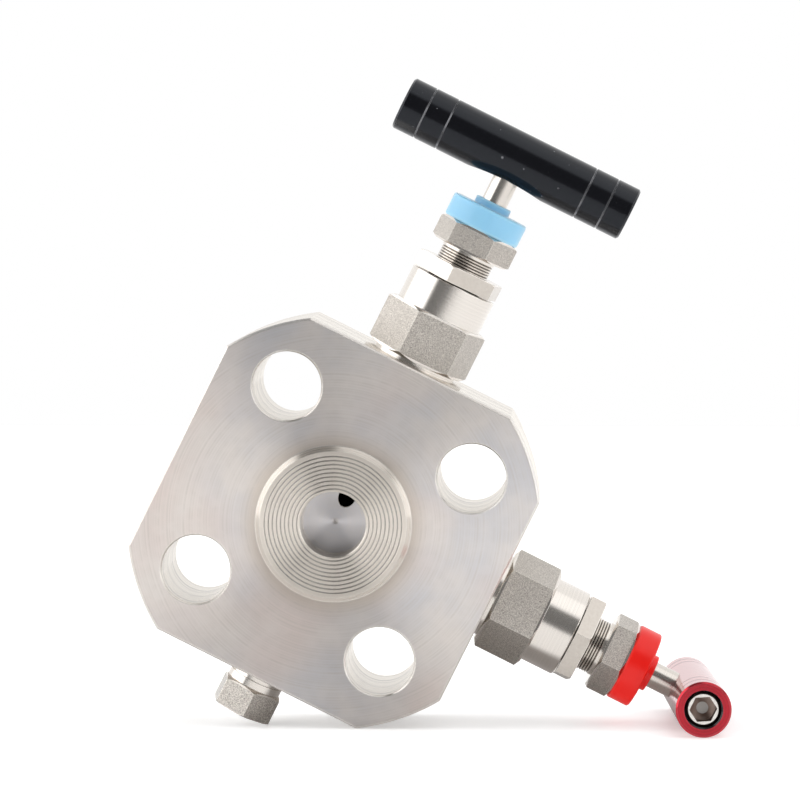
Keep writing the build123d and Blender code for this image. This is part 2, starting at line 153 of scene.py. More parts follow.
class Graph:
    """One material's node tree, with short calls for the maths that the finishes share."""

    def __init__(self, name):
        self.material = bpy.data.materials.new(name)
        self.material.use_nodes = True
        self.tree = self.material.node_tree
        self.shader = self.tree.nodes["Principled BSDF"]
        place = self.add("ShaderNodeTexCoord")
        self.place = place.outputs["Object"]
        self.normal = place.outputs["Normal"]

    def add(self, kind, **settings):
        node = self.tree.nodes.new(kind)
        for key, value in settings.items():
            setattr(node, key, value)
        return node

    def put(self, socket, value):
        if isinstance(value, bpy.types.NodeSocket):
            self.tree.links.new(value, socket)
        elif socket.type == "RGBA" and len(value) == 3:
            socket.default_value = (*value, 1)
        else:
            socket.default_value = value

    def math(self, operation, *values):
        node = self.add("ShaderNodeMath", operation=operation)
        for socket, value in zip(node.inputs, values):
            self.put(socket, value)
        return node.outputs[0]

    def times(self, product, *factors):
        for factor in factors:
            product = self.math("MULTIPLY", product, factor)
        return product

    def other(self, mask):
        """The opposite of a mask."""
        return self.math("SUBTRACT", 1.0, mask)

    def vary(self, pattern, amount, base):
        """A base value, raised by an amount where the pattern is 1."""
        return self.math("MULTIPLY_ADD", pattern, amount, base)

    def above(self, value, limit):
        return self.math("GREATER_THAN", value, limit)

    def below(self, value, limit):
        return self.math("LESS_THAN", value, limit)

    def vector(self, operation, a, b=None):
        node = self.add("ShaderNodeVectorMath", operation=operation)
        self.put(node.inputs[0], a)
        if b is not None:
            self.put(node.inputs["Scale" if operation == "SCALE" else 1], b)
        return node.outputs["Value" if operation in ("DOT_PRODUCT", "LENGTH") else "Vector"]

    def shifted(self, shift):
        """The object's coordinates moved, so that a second noise differs from the first."""
        return self.vector("ADD", self.place, shift)

    def along(self, axis):
        """How far the surface's normal lies along an axis, either way."""
        return self.math("ABSOLUTE", self.vector("DOT_PRODUCT", self.normal, tuple(axis)))

    def step(self, value, start, end, low=0.0, high=1.0):
        node = self.add("ShaderNodeMapRange", interpolation_type="SMOOTHSTEP")
        settings = {"Value": value, "From Min": start, "From Max": end, "To Min": low, "To Max": high}
        for key, setting in settings.items():
            self.put(node.inputs[key], setting)
        return node.outputs["Result"]

    def noise(self, scale, detail=2.0, roughness=0.5, at=None):
        node = self.add("ShaderNodeTexNoise")
        self.put(node.inputs["Vector"], self.place if at is None else at)
        node.inputs["Scale"].default_value = scale
        node.inputs["Detail"].default_value = detail
        node.inputs["Roughness"].default_value = roughness
        return node.outputs["Fac"]

    def lines(self, station, scale, detail=2.0):
        """Machining marks that vary only with a station or a radius."""
        node = self.add("ShaderNodeTexNoise", noise_dimensions="1D")
        self.put(node.inputs["W"], station)
        node.inputs["Scale"].default_value = scale
        node.inputs["Detail"].default_value = detail
        return node.outputs["Fac"]

    def mix(self, factor, a, b):
        node = self.add("ShaderNodeMix", data_type="FLOAT")
        for socket, value in zip((node.inputs[0], node.inputs[2], node.inputs[3]), (factor, a, b)):
            self.put(socket, value)
        return node.outputs[0]

    def colour(self, factor, a, b):
        node = self.add("ShaderNodeMix", data_type="RGBA")
        for socket, value in zip((node.inputs[0], node.inputs[6], node.inputs[7]), (factor, a, b)):
            self.put(socket, value)
        return node.outputs[2]

    def bump(self, height, distance, strength=1.0, normal=None):
        node = self.add("ShaderNodeBump")
        self.put(node.inputs["Height"], height)
        node.inputs["Distance"].default_value = distance
        self.put(node.inputs["Strength"], strength)
        if normal is not None:
            self.put(node.inputs["Normal"], normal)
        return node.outputs["Normal"]

    def rounded(self, radius):
        """Normal with every sharp edge eased to a radius."""
        node = self.add("ShaderNodeBevel", samples=BEVEL_SAMPLES)
        self.put(node.inputs["Radius"], radius)
        return node.outputs["Normal"]

    def edges(self, radius):
        """1 along sharp edges, 0 on open faces."""
        true_normal = self.add("ShaderNodeNewGeometry").outputs["Normal"]
        agree = self.vector("DOT_PRODUCT", self.rounded(radius), true_normal)
        return self.step(agree, *EDGE_NORMALS)

    def about(self, centre, axis):
        """Station along an axis, radius from it, and the unit vector outwards from it."""
        arm = self.vector("SUBTRACT", self.place, tuple(centre))
        station = self.vector("DOT_PRODUCT", arm, tuple(axis))
        out = self.vector("SUBTRACT", arm, self.vector("SCALE", tuple(axis), station))
        return station, self.vector("LENGTH", out), self.vector("NORMALIZE", out)

    def turned_tangent(self, out, axis):
        """Direction square to the tool marks of a turned surface, in world space."""
        marks = self.vector("CROSS_PRODUCT", tuple(axis), out)
        across = self.vector("CROSS_PRODUCT", marks, self.normal)
        spaces = {"convert_from": "OBJECT", "convert_to": "WORLD"}
        node = self.add("ShaderNodeVectorTransform", vector_type="VECTOR", **spaces)
        self.put(node.inputs[0], across)
        return node.outputs[0]

    def set(self, **sockets):
        for key, value in sockets.items():
            self.put(self.shader.inputs[key.replace("_", " ")], value)


# ---------------------------------------------------------------- flange steel
FLANGE_LIGHT = (0.88, 0.82, 0.775)
FLANGE_COOL = (0.745, 0.74, 0.77)
FLANGE_WARM = (0.88, 0.765, 0.715)
FLANGE_DARK = (0.68, 0.625, 0.57)
FLANGE_SCORED = (0.42, 0.39, 0.365)
FACE_STEEL = (0.76, 0.70, 0.63)
# bright edges, worn and carrying a painted highlight, and a few bright machining arcs
STEEL_EDGE = (0.90, 0.87, 0.82)
STEEL_WALL = (0.86, 0.82, 0.76)
STEEL_FLOOR = (0.60, 0.585, 0.60)
# dark pits in blasted flats, and the painted shade in the flange's serration grooves
STEEL_PITS_AND_GROOVE_SHADE = (0.22, 0.20, 0.19)
BROWN_SURROUND = (0.74, 0.64, 0.54)
# painted near-black shade inside the drilled passage
PASSAGE_SHADE = (0.006, 0.006, 0.006)

INLET_CHAMFER = 0.0003
INLET_RADIUS = mount_size("process_inlet", "r_mm")
INLET_FLOOR = mount_size("process_inlet", "length_mm") + INLET_CHAMFER
OUTLET_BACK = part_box("flange_body")[1].y
OUTLET_RADIUS = mount_size("instrument_outlet", "r_mm")
OUTLET_LENGTH = mount_size("instrument_outlet", "length_mm")
FACE_RADIUS = max(math.hypot(p.x, p.z) for p in corners("flange_body") if p.y < INLET_CHAMFER)

# bands over which one zone of the block fades into the next, in metres
BACK_BAND = (0.002, 0.004)    # deeper than the inlet floor: the back half
RIM_BAND = (0.0006, 0.0016)   # outside the raised face: the flange face
SURROUND_BAND = (0.007, 0.001)   # outside the raised face: the browner band round it
BORE_RIM = (0.0005, 0.0008)   # outside the inlet bore: the serrations
SERRATION_SKIN = 0.00008      # shallower than this is not a serration
SERRATION_END = (0.001, 0.0008)
DEEP_BAND = (0.002, 0.004)    # below the raised face: inside the inlet
MARK_RADIUS = 0.0015          # just outside the drill's centre mark in the inlet floor
MARK_DEPTH = 0.0011
FLOOR_SKIN = 0.0002
OUTLET_MARGIN = 0.001
PASSAGE_REACH = 0.008         # how far outside the inlet's radius a passage is painted dark as shade
FLANGE_WEAR_AND_HIGHLIGHT = (0.00014, 0.0004)   # width of the bright edges, worn and carrying a painted highlight, on the raised face and outside it
FLANGE_EASE = (0.00008, 0.0003)   # radius of eased edges, in the same places

# patterns: scale per metre, detail and roughness of a noise
BORE_MARKS = (1500.0, 3.0)
FACING_MARKS = (1700.0, 4.0)
BROAD_MARKS = (260.0, 2.0)
ARC_MARKS = (900.0, 1.0)
WALL_MARKS = (260.0, 4.0)
FLANGE_CLOUD = (38.0, 3.0, 0.6)
FLANGE_TINT = (24.0, 2.0)
TINT_SHIFT = (0.31, 0.17, 0.09)
BROKEN_MARKS = (300.0, 2.0)

# levels of a pattern between which a mask rises, and the mask's lowest and highest value where given
PATCHES = (0.36, 0.64)
CLOUDS = (0.3, 0.7)
STRAY_MARKS = (0.66, 0.74)
DARK_MARKS = (0.3, 0.75, 0.0, 0.36)
BROKEN = (0.35, 0.6, 0.35, 1.0)
SCORED = (0.50, 0.66, 0.0, 0.5)
CLOUD_SHARE = 0.85
SURROUND_SHARE = 0.6
SERRATION_SHADE_SHARE = 0.7
ARC_SHARE = 0.08

# roughness, and how much each pattern adds
FLANGE_ROUGH = 0.33
BORE_ROUGH = 0.17
EDGE_ROUGH = 0.2
FACE_SMOOTHER = 0.10
CLOUD_ADDS = 0.10
RINGS_ADD = 0.08
BROAD_ADDS = 0.03
BORE_ADDS = 0.10
RING_HEIGHT = 0.00002
RING_BUMP = 0.35


def flange_zones(g):
    """Masks on the flange block, by station along its axis and radius from it."""
    station, radius, out = g.about((0, 0, 0), FLANGE_AXIS)
    facing = g.step(g.along(FLANGE_AXIS), *END_ON)
    back = g.step(station, *(INLET_FLOOR + place for place in BACK_BAND))
    rim = g.step(radius, *(FACE_RADIUS + place for place in RIM_BAND))
    outside = g.math("MAXIMUM", back, rim)
    places = {"station": station, "radius": radius, "out": out}
    return SimpleNamespace(**places, facing=facing, back=back, outside=outside)


def flange_tone(g, zone, cloud):
    """Cloudy cool and warm steel, with a browner band round the raised face, which is browner too."""
    tint = g.noise(*FLANGE_TINT, at=g.shifted(TINT_SHIFT))
    tone = g.colour(g.step(tint, *PATCHES), FLANGE_COOL, FLANGE_WARM)
    shade = g.colour(g.times(g.step(cloud, *CLOUDS), CLOUD_SHARE), FLANGE_LIGHT, tone)
    near_face = g.step(zone.radius, *(FACE_RADIUS + place for place in SURROUND_BAND), 0.0, SURROUND_SHARE)
    shade = g.colour(g.times(zone.outside, near_face, g.other(zone.back)), shade, BROWN_SURROUND)
    return g.colour(g.other(zone.outside), shade, FACE_STEEL)


def flange_cuts(g, zone, shade):
    """Painted shade in the serration grooves, the greyer inlet floor, and the scored walls of the bores."""
    rim_start, rim_end = (INLET_RADIUS + place for place in BORE_RIM)
    groove = g.times(g.step(zone.station, TOUCH, SERRATION_SKIN), g.step(zone.station, *SERRATION_END))
    groove = g.times(groove, g.step(zone.radius, FACE_RADIUS, FACE_RADIUS - INLET_CHAMFER))
    groove = g.times(groove, g.step(zone.radius, rim_start, rim_end))
    # the serration grooves are darkened with painted shade
    shade = g.colour(g.times(groove, SERRATION_SHADE_SHARE), shade, STEEL_PITS_AND_GROOVE_SHADE)
    deep = g.times(g.step(zone.station, *DEEP_BAND), g.step(zone.radius, rim_start, INLET_RADIUS))
    shade = g.colour(g.times(deep, zone.facing), shade, STEEL_FLOOR)
    scored = g.step(g.lines(zone.station, *WALL_MARKS), *SCORED)
    return g.colour(zone.facing, g.colour(scored, STEEL_WALL, FLANGE_SCORED), shade)


def flange_marks(g, zone, rings, shade):
    """Facing marks, broken up along their length, with a few stray bright arcs."""
    arcs = g.step(g.lines(zone.radius, *ARC_MARKS), *STRAY_MARKS)
    broken = g.step(g.noise(*BROKEN_MARKS), *BROKEN)
    fine = g.colour(g.times(broken, g.step(rings, *DARK_MARKS)), shade, FLANGE_DARK)
    return g.colour(g.times(arcs, broken, ARC_SHARE), fine, STEEL_EDGE)


def flange_passage_shade(g, zone):
    """1 in the drilled passage that opens in the inlet floor, which is painted near-black as shade."""
    marked = g.below(zone.radius, MARK_RADIUS)
    drilled = g.above(zone.station, g.mix(marked, INLET_FLOOR + FLOOR_SKIN, INLET_FLOOR + MARK_DEPTH))
    drilled = g.times(drilled, g.below(zone.station, OUTLET_BACK - OUTLET_LENGTH - OUTLET_MARGIN))
    return g.times(drilled, g.below(zone.radius, INLET_RADIUS + PASSAGE_REACH))


def flange_roughness(g, zone, rings, cloud):
    rough = g.vary(rings, RINGS_ADD, g.vary(cloud, CLOUD_ADDS, FLANGE_ROUGH))
    rough = g.vary(g.lines(zone.radius, *BROAD_MARKS), BROAD_ADDS, rough)
    rough = g.math("SUBTRACT", rough, g.times(g.other(zone.outside), FACE_SMOOTHER))
    return g.mix(zone.facing, g.vary(rings, BORE_ADDS, BORE_ROUGH), rough)


def flange_tangent(g, zone):
    across = g.add("ShaderNodeMix", data_type="VECTOR")
    g.put(across.inputs[0], zone.facing)
    g.put(across.inputs[4], tuple(FLANGE_AXIS))
    g.put(across.inputs[5], zone.out)
    return across.outputs[1]


def flange_steel():
    """Facing cuts run round the flange axis; bores and outer faces have marks square to it."""
    g = Graph("flange_steel")
    zone = flange_zones(g)
    rings = g.mix(zone.facing, g.lines(zone.station, *BORE_MARKS), g.lines(zone.radius, *FACING_MARKS))
    cloud = g.noise(*FLANGE_CLOUD)
    shade = flange_cuts(g, zone, flange_tone(g, zone, cloud))
    # edges lightened: wear, and a painted highlight along them
    bright_edges = g.edges(g.mix(zone.outside, *FLANGE_WEAR_AND_HIGHLIGHT))
    colour = g.colour(bright_edges, flange_marks(g, zone, rings, shade), STEEL_EDGE)
    eased = g.rounded(g.mix(zone.outside, *FLANGE_EASE))
    # the drilled passage is painted near-black as shade
    g.set(
        Base_Color=g.colour(flange_passage_shade(g, zone), colour, PASSAGE_SHADE),
        Metallic=1.0,
        Roughness=g.mix(bright_edges, flange_roughness(g, zone, rings, cloud), EDGE_ROUGH),
        Anisotropic=1.0,
        Tangent=flange_tangent(g, zone),
        Normal=g.bump(rings, RING_HEIGHT, RING_BUMP, eased),
    )
    return g.material


# ---------------------------------------------------------------- turned, blasted and satin steel
STEEL_LIGHT = (0.78, 0.735, 0.685)
STEEL_DARK = (0.50, 0.455, 0.41)
BLAST_DARK = (0.38, 0.345, 0.315)
BLAST_LIGHT = (0.72, 0.68, 0.625)
SATIN_LIGHT = (0.60, 0.555, 0.505)
SATIN_WARM = (0.53, 0.48, 0.43)
THREAD_ROOT_SHADE = (0.20, 0.18, 0.165)
STEM_LIGHT = (0.74, 0.70, 0.65)
STEM_DARK = (0.62, 0.57, 0.52)
SCREW_LIGHT = (0.84, 0.81, 0.77)
SCREW_DARK = (0.66, 0.62, 0.58)
SOCKET_SHADE_DARK = (0.21, 0.145, 0.12)
SOCKET_SHADE_LIGHT = (0.36, 0.28, 0.24)
SOCKET_GREY = (0.44, 0.43, 0.41)

FINE_GRAIN = 0.00024          # size of the blasted grain, in metres
COARSE_GRAIN = 0.00034
COARSE_SCALE = 0.28           # broader grain, as a share of the fine grain's scale
PIT_SCALE = 0.55
GRAIN_DETAIL = (2.0, 0.6)
PIT_SHIFT = (0.2, 0.4, 0.1)
PIT_SHARE = 0.75
SIDE_ON = 0.3                 # normals that lie less than this along the axis are on a side face
TURNED_MARKS = (3200.0, 3.0)
TURNED_SHADE = (0.35, 0.7, 0.0, 0.18)
SATIN_SHADE = (0.3, 0.7, 0.0, 0.5)
TURNED_ANISOTROPY = 0.6
TURNED_ROUGH = 0.17
SATIN_ROUGH = 0.24
BLAST_ROUGH = 0.40
PLUG_ROUGH = 0.22
WORN_ROUGH = 0.16
TURNED_ADDS = 0.08
BLAST_ADDS = 0.16
SATIN_ADDS = 0.12
COARSE_HEIGHT = 0.25
SATIN_HEIGHT = 0.2
TURNED_HEIGHT = 0.05
GRAIN_HEIGHT = 0.00018
GRAIN_BUMP = 0.9
FITTING_WEAR_AND_HIGHLIGHT = 0.00025
STEEL_EASE = 0.0002


def flat_finish(g, grain_size, blasted, rough):
    """Colour, roughness and height of a hexagon's flats."""
    grain = g.noise(1.0 / grain_size, *GRAIN_DETAIL)
    coarse = g.noise(COARSE_SCALE / grain_size, *GRAIN_DETAIL)
    if not blasted:
        colour = g.colour(g.step(coarse, *SATIN_SHADE), SATIN_LIGHT, SATIN_WARM)
        return colour, g.vary(coarse, SATIN_ADDS, SATIN_ROUGH), g.times(coarse, SATIN_HEIGHT)
    pits = g.step(g.noise(PIT_SCALE / grain_size, 1.0, at=g.shifted(PIT_SHIFT)), *STRAY_MARKS)
    colour = g.colour(g.step(grain, *PATCHES), BLAST_DARK, BLAST_LIGHT)
    colour = g.colour(g.times(pits, PIT_SHARE), colour, STEEL_PITS_AND_GROOVE_SHADE)
    return colour, g.vary(coarse, BLAST_ADDS, rough), g.vary(coarse, COARSE_HEIGHT, grain)


def fitting_steel(name, part, flats, grain_size, blasted, ease=STEEL_EASE, thread=None, rough=BLAST_ROUGH):
    """Turned steel round a part's centre and axis, with blasted or satin hexagon flats between two stations."""
    centre, axis = part
    low, high = flats
    g = Graph(name)
    station, radius, out = g.about(centre, axis)
    side = g.below(g.along(axis), SIDE_ON)
    flat = g.times(g.above(station, low), g.below(station, high), side)
    marks = g.lines(station, *TURNED_MARKS)
    # edges lightened: wear, and a painted highlight along them
    bright_edges = g.edges(FITTING_WEAR_AND_HIGHLIGHT)
    turned_colour = g.colour(g.step(marks, *TURNED_SHADE), STEEL_LIGHT, STEEL_DARK)
    flat_colour, flat_rough, flat_height = flat_finish(g, grain_size, blasted, rough)
    colour = g.colour(bright_edges, g.colour(flat, turned_colour, flat_colour), STEEL_EDGE)
    if thread:
        root, crest = thread
        # the thread roots are darkened with painted shade
        colour = g.colour(g.step(radius, root, crest), THREAD_ROOT_SHADE, colour)
    height = g.mix(flat, g.times(marks, TURNED_HEIGHT), flat_height)
    rough = g.mix(flat, g.vary(marks, TURNED_ADDS, TURNED_ROUGH), flat_rough)
    g.set(
        Base_Color=colour,
        Metallic=1.0,
        Roughness=g.mix(bright_edges, rough, WORN_ROUGH),
        Anisotropic=TURNED_ANISOTROPY,
        Tangent=g.turned_tangent(out, axis),
        Normal=g.bump(height, GRAIN_HEIGHT, GRAIN_BUMP, g.rounded(ease)),
    )
    return g.material


STEM_MARKS = (3600.0, 3.0)
STEM_HAZE = (420.0, 2.0)
STEM_ROUGH = 0.14
STEM_ADDS = 0.08
FINE_BUMP = 0.3
MARK_HEIGHT = 0.00001


def stem_steel(head):
    g = Graph(head + "_stem_steel")
    station, _, out = g.about(CENTRE[head], AXIS[head])
    marks = g.lines(station, *STEM_MARKS)
    haze = g.noise(*STEM_HAZE)
    g.set(
        Base_Color=g.colour(marks, STEM_LIGHT, STEM_DARK),
        Metallic=1.0,
        Roughness=g.vary(marks, STEM_ADDS, g.vary(haze, STEM_ADDS, STEM_ROUGH)),
        Anisotropic=TURNED_ANISOTROPY,
        Tangent=g.turned_tangent(out, AXIS[head]),
        Normal=g.bump(marks, MARK_HEIGHT, FINE_BUMP, g.rounded(STEEL_EASE)),
    )
    return g.material


SOCKET_FLOOR = 0.0017         # radius of the drilled bottom of a screw's socket
SOCKET_FLOOR_SHARE = 0.8
SCREW_FINE = (1400.0, 3.0)
SOCKET_MOTTLE = (260.0, 2.0)
SCREW_WEAR_AND_HIGHLIGHT = 0.0001
SCREW_WEAR_AND_HIGHLIGHT_SHARE = 0.6
SCREW_EASE = 0.00012
FACE_ROUGH = 0.10
FACE_ADDS = 0.08
SOCKET_ROUGH = 0.34
SOCKET_ADDS = 0.2
FINE_HEIGHT = 0.00003


def screw_steel(head):
    """Bright screw face round a socket painted dark brown as the shade in its recess, with a greyer drilled floor.
    """
    g = Graph(head + "_screw_steel")
    middle, along, _ = bar_ends(head + "_handle")
    reach = max(abs((p - middle).dot(along)) for p in corners(head + "_handle_screw"))
    station, radius, _ = g.about(middle, along)
    socket = g.below(g.math("ABSOLUTE", station), reach - 2 * TOUCH)
    fine = g.noise(*SCREW_FINE)
    # the socket walls are painted dark and mottled as shade in the recess
    walls = g.colour(g.step(g.noise(*SOCKET_MOTTLE), *PATCHES), SOCKET_SHADE_DARK, SOCKET_SHADE_LIGHT)
    inner = g.colour(g.times(g.below(radius, SOCKET_FLOOR), SOCKET_FLOOR_SHARE), walls, SOCKET_GREY)
    base = g.colour(socket, g.colour(fine, SCREW_LIGHT, SCREW_DARK), inner)
    face_rough = g.vary(fine, FACE_ADDS, FACE_ROUGH)
    # edges lightened: wear, and a painted highlight along them
    g.set(
        Base_Color=g.colour(g.times(g.edges(SCREW_WEAR_AND_HIGHLIGHT), SCREW_WEAR_AND_HIGHLIGHT_SHARE), base, STEEL_EDGE),
        Metallic=1.0,
        Roughness=g.mix(socket, face_rough, g.vary(fine, SOCKET_ADDS, SOCKET_ROUGH)),
        Normal=g.bump(fine, FINE_HEIGHT, FINE_BUMP, g.rounded(SCREW_EASE)),
    )
    return g.material


# ---------------------------------------------------------------- plastics
# base, deep and painted edge highlight colour of each dust cap, and how much light goes through it
CAP_COLOURS = {
    "isolate": ((0.31, 0.63, 0.94), (0.27, 0.58, 0.90), (0.70, 0.92, 1.0), 0.45),
    "vent": ((1.0, 0.010, 0.004), (0.90, 0.008, 0.003), (1.0, 0.055, 0.04), 0.1),
}
CAP_CLOUD = (120.0, 2.0)
CAP_GRAIN = (1500.0, 2.0)
CAP_HIGHLIGHT_EDGE = 0.0009
CAP_HIGHLIGHT_SHARE = 0.6
CAP_ROUGH = 0.24
CAP_ADDS = 0.14
CAP_EASE = 0.0003
CAP_SCATTER = (0.003, 0.004, 0.005)
CAP_SPECULAR = 0.40
SEAL_DARK = (0.80, 0.80, 0.78)
SEAL_LIGHT = (0.90, 0.90, 0.88)
SEAL_GRAIN = (1200.0, 2.0)
SEAL_ROUGH = 0.4
SEAL_ADDS = 0.1


def moulded_plastic(name, base, deep, edge_highlight, through):
    """Soft moulded cap: cloudy colour, a pale highlight painted along its edges, faint mould grain."""
    g = Graph(name)
    cloud = g.noise(*CAP_CLOUD)
    fine = g.noise(*CAP_GRAIN)
    # the edges are lightened with a painted highlight
    bright_edges = g.times(g.edges(CAP_HIGHLIGHT_EDGE), CAP_HIGHLIGHT_SHARE)
    g.set(
        Base_Color=g.colour(bright_edges, g.colour(cloud, deep, base), edge_highlight),
        Roughness=g.vary(fine, CAP_ADDS, CAP_ROUGH),
        Normal=g.bump(fine, FINE_HEIGHT, FINE_BUMP, g.rounded(CAP_EASE)),
        Subsurface_Weight=through,
        Subsurface_Radius=CAP_SCATTER,
        Subsurface_Scale=1.0,
        Specular_IOR_Level=CAP_SPECULAR,
    )
    return g.material


def seal_plastic():
    g = Graph("seal")
    fine = g.noise(*SEAL_GRAIN)
    g.set(
        Base_Color=g.colour(fine, SEAL_DARK, SEAL_LIGHT),
        Roughness=g.vary(fine, SEAL_ADDS, SEAL_ROUGH),
        Normal=g.bump(fine, FINE_HEIGHT, FINE_BUMP),
    )
    return g.material


# ---------------------------------------------------------------- handle bars
BAR_END = 0.6                 # the ring grooves lie in the outer part of each half of a bar
GROOVE_SKIN = 0.00006         # shallower than this is the bar's own surface
GROOVE_FLOOR = 0.0004         # deeper than this is not a groove
GROOVE_SHADE = 0.00045        # half width of the band of painted shade along a groove
GROOVE_CORE = 0.6             # the share of that band that is fully dark
GROOVE_MARGIN = 0.001         # the grooves end this far before the end face
BAR_MARKS = (2200.0, 3.0)
BAR_EASE = 0.0001
BAR_ADDS = 0.08

BLACK_DYES = ((0.0025, 0.0025, 0.0035), (0.005, 0.005, 0.007))
BLACK_DUST = (0.3, 0.3, 0.32)
BLACK_BARE_AND_HIGHLIGHT = (0.45, 0.45, 0.47)
DUST_NOISE = (620.0, 1.0)
DUST_SPECKS = (0.76, 0.80)
DUST_SHARE = 0.5
GROOVE_HIGHLIGHT_NOISE = (160.0, 1.0)
GROOVE_HIGHLIGHT_PATCHES = (0.35, 0.65, 0.2, 0.75)
BLACK_WEAR_AND_HIGHLIGHT = 0.00012
BLACK_WEAR_AND_HIGHLIGHT_SHARE = 0.5
BLACK_ROUGH = 0.14
BLACK_HEIGHT = 0.000006
BLACK_SPECULAR = 0.36
BLACK_TINT = (0.85, 0.91, 1.0)

CRIMSON_DYES = ((0.50, 0.004, 0.020), (0.36, 0.003, 0.014))
CRIMSON_WORN_AND_HIGHLIGHT = (0.95, 0.35, 0.42)
CRIMSON_GROOVE_SHADE = (0.10, 0.002, 0.006)
CRIMSON_HOLE_SHADE = (0.004, 0.001, 0.002)
CRIMSON_WEAR_AND_HIGHLIGHT = 0.00015
CRIMSON_WEAR_AND_HIGHLIGHT_SHARE = 0.35
CRIMSON_ROUGH = 0.15
CRIMSON_ANISOTROPY = 0.7
BESIDE_SHADE_SHARE = 0.6
COAT_WEIGHT = 0.7
COAT_ROUGH = 0.05


class BarPlaces:
    """Masks on a handle bar, by station along it and radius from its axis."""

    def __init__(self, g, node):
        self.g = g
        middle, self.axis, self.reach = bar_ends(node)
        self.station, self.radius, self.out = g.about(middle, self.axis)
        self.outer = g.math("ABSOLUTE", self.station)
        arms = (around(p, middle, self.axis) for p in corners(node))
        self.points = [(abs(station), radius) for station, radius in arms]
        self.bar_radius = max(radius for _, radius in self.points)
        self.grooves_from = BAR_END * self.reach
        self.grooves_to = self.reach - GROOVE_MARGIN

    def groove(self):
        g = self.g
        depth = g.math("SUBTRACT", self.bar_radius, self.radius)
        shallow = g.times(g.above(depth, GROOVE_SKIN), g.below(depth, GROOVE_FLOOR))
        shallow = g.times(shallow, g.above(self.outer, self.grooves_from))
        return g.times(shallow, g.below(self.outer, self.grooves_to))

    def beside(self):
        """Bands over the two grooves and a little to each side of them, for painted shade."""
        g = self.g
        near = [point for point in self.points if self.grooves_from < point[0] < self.grooves_to]
        cut = [s for s, r in near if GROOVE_SKIN < self.bar_radius - r < GROOVE_FLOOR]
        bands = 0.0
        for place in (min(cut), max(cut)):
            away = g.math("ABSOLUTE", g.math("SUBTRACT", self.outer, place))
            bands = g.math("MAXIMUM", bands, g.step(away, GROOVE_SHADE, GROOVE_CORE * GROOVE_SHADE))
        return bands

    def tapped_hole_shade(self):
        """The inside of the tapped end, which is painted near-black as shade."""
        g = self.g
        mouth = min(radius for station, radius in self.points if station > self.reach - TOUCH)
        return g.times(g.below(self.radius, mouth + TOUCH), g.below(self.outer, self.reach - TOUCH))


def gloss_black(node):
    """Black anodised bar: near-black with fine turning and dust specks, a painted highlight in the grooves, and
    worn edges that also carry a painted highlight.
    """
    g = Graph(node + "_finish")
    bar = BarPlaces(g, node)
    marks = g.lines(bar.station, *BAR_MARKS)
    specks = g.step(g.noise(*DUST_NOISE), *DUST_SPECKS)
    base = g.colour(g.times(specks, DUST_SHARE), g.colour(marks, *BLACK_DYES), BLACK_DUST)
    patchy = g.step(g.noise(*GROOVE_HIGHLIGHT_NOISE), *GROOVE_HIGHLIGHT_PATCHES)
    bright_edges = g.times(g.edges(BLACK_WEAR_AND_HIGHLIGHT), BLACK_WEAR_AND_HIGHLIGHT_SHARE)
    # grooves lightened as a painted highlight; edges lightened by wear and a painted highlight
    bare_and_highlight = g.math("MAXIMUM", bright_edges, g.times(bar.groove(), patchy))
    g.set(
        Base_Color=g.colour(bare_and_highlight, base, BLACK_BARE_AND_HIGHLIGHT),
        Roughness=g.vary(marks, BAR_ADDS, BLACK_ROUGH),
        Normal=g.bump(marks, BLACK_HEIGHT, FINE_BUMP, g.rounded(BAR_EASE)),
        Specular_IOR_Level=BLACK_SPECULAR,
        Specular_Tint=BLACK_TINT,
    )
    return g.material


def crimson_anodised(node):
    """Red anodised bar: dyed metal, turned marks round the bar, clear sealed surface."""
    g = Graph(node + "_finish")
    bar = BarPlaces(g, node)
    end = g.step(g.along(bar.axis), *END_ON)
    marks = g.mix(end, g.lines(bar.station, *BAR_MARKS), g.lines(bar.radius, *BAR_MARKS))
    # edges lightened pink: wear, and a painted highlight along them
    bright_edges = g.times(g.edges(CRIMSON_WEAR_AND_HIGHLIGHT), CRIMSON_WEAR_AND_HIGHLIGHT_SHARE)
    base = g.colour(bright_edges, g.colour(marks, *CRIMSON_DYES), CRIMSON_WORN_AND_HIGHLIGHT)
    # the grooves and bands beside them are darkened with painted shade
    shaded_grooves = g.math("MAXIMUM", bar.groove(), g.times(bar.beside(), BESIDE_SHADE_SHARE))
    base = g.colour(shaded_grooves, base, CRIMSON_GROOVE_SHADE)
    # the inside of the tapped hole is painted near-black as shade
    g.set(
        Base_Color=g.colour(bar.tapped_hole_shade(), base, CRIMSON_HOLE_SHADE),
        Metallic=1.0,
        Roughness=g.vary(marks, BAR_ADDS, CRIMSON_ROUGH),
        Anisotropic=CRIMSON_ANISOTROPY,
        Tangent=g.turned_tangent(bar.out, bar.axis),
        Normal=g.bump(marks, MARK_HEIGHT, FINE_BUMP, g.rounded(BAR_EASE)),
        Coat_Weight=COAT_WEIGHT,
        Coat_Roughness=COAT_ROUGH,
    )
    return g.material


# ---------------------------------------------------------------- finishes put on the nodes
THREAD_EASE = 0.00006
THREAD_DEPTH = 0.00035
ROOT_SHARE = 0.9
CREST_SHARE = 0.2
HEX_CHAMFER = 0.002
# the steel pieces of a head, and whether their flats are blasted
BLASTED = {
    "bonnet": True,
    "packing_bolt": True,
    "lock_nut": False,
    "gland_bush": False,
    "packing_washer": False,
}


def finish_with(node, material):
    for slot in nodes[node].material_slots:
        slot.material = material


def thread_radii(node, part, hex_base):
    """Root and crest radius of the thread below a node's hexagon."""
    arms = [around(point, *part) for point in corners(node)]
    crest = max(radius for station, radius in arms if station < hex_base - HEX_CHAMFER)
    return crest - ROOT_SHARE * THREAD_DEPTH, crest - CREST_SHARE * THREAD_DEPTH


